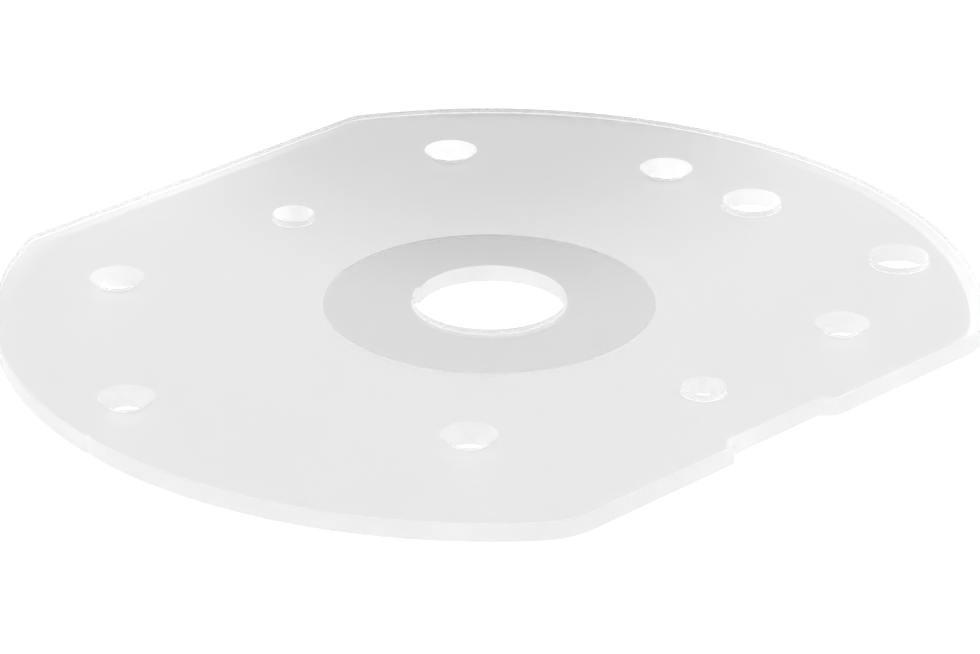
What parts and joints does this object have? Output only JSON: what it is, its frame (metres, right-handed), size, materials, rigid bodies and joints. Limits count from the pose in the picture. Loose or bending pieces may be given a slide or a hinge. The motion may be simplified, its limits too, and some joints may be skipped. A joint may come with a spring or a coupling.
{
  "type": "router base plate",
  "caption": "Clear flat plate for a hand router's foot: round rim cut by two flats, central bit hole in a polished window, countersunk screw holes and straight accessory holes.",
  "frame": {"origin": "middle of the plate's box, on the surface that the plate lies on, router side down; the bit hole's axis is 3.0 mm nearer to the notched flat, at X 0, Y -0.003", "axes": "+Z is out of the work face, +X runs along the two flats, +Y points to the flat without the notch"},
  "size_m": [0.1524, 0.1292, 0.003],
  "materials": {
    "clear_plastic": "clear plastic, glossy above, finely frosted below, polished round the bit hole"
  },
  "bodies": {
    "root": {"base_plate": "clear_plastic"}
  },
  "joints": []
}
